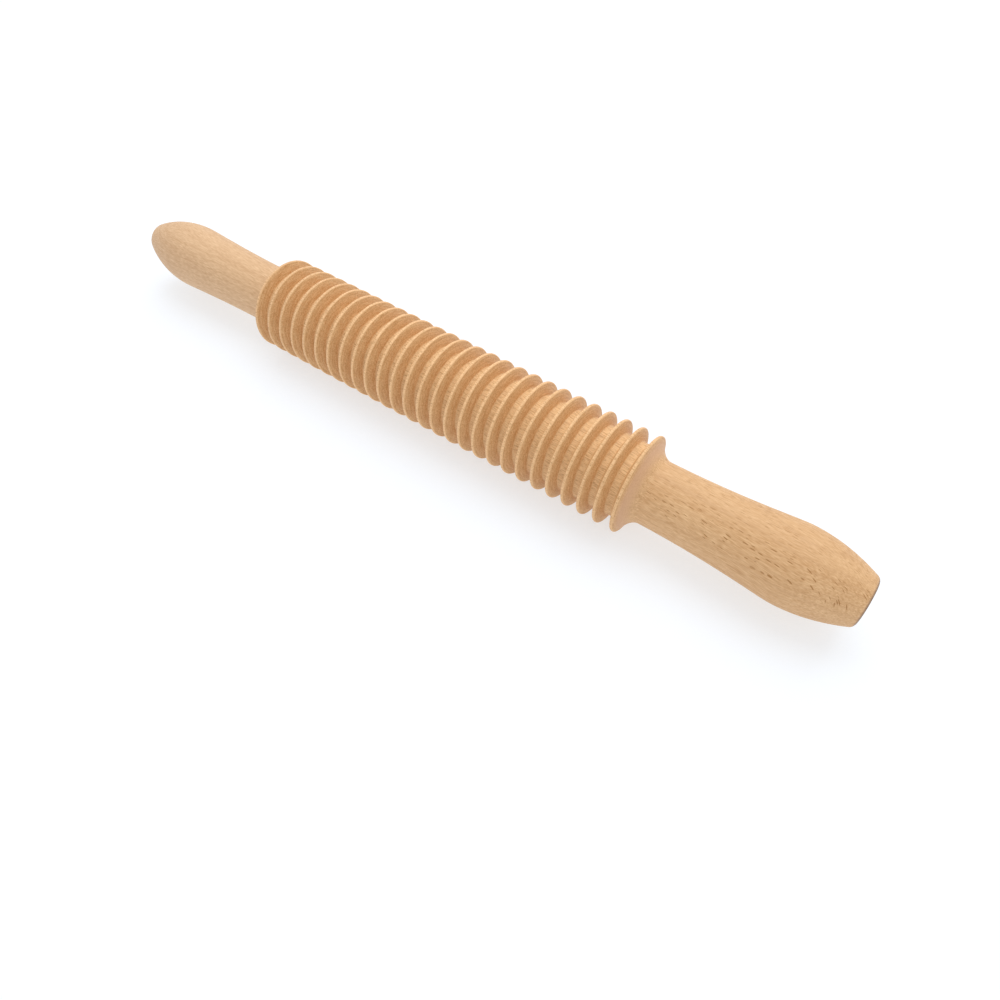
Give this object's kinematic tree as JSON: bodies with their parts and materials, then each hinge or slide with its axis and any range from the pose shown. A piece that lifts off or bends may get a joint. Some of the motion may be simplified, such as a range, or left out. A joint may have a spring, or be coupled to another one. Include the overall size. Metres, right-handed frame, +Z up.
{
  "type": "pasta cutter rolling pin",
  "caption": "Turned wooden rolling pin whose barrel is a row of thin cutting discs between flared ends and slim handles, rolled over dough to cut it into ribbons.",
  "frame": {"origin": "on the worktop plane, straight below the middle of the barrel", "axes": "X runs along the pin's axis from one handle to the other, Z is up, and Y is the direction in which the pin rolls"},
  "size_m": [0.3346, 0.0378, 0.0378],
  "materials": {
    "beech": "raw turned beech, finely sanded, satin, no varnish"
  },
  "bodies": {
    "root": {"rolling_pin": "beech"}
  },
  "joints": []
}
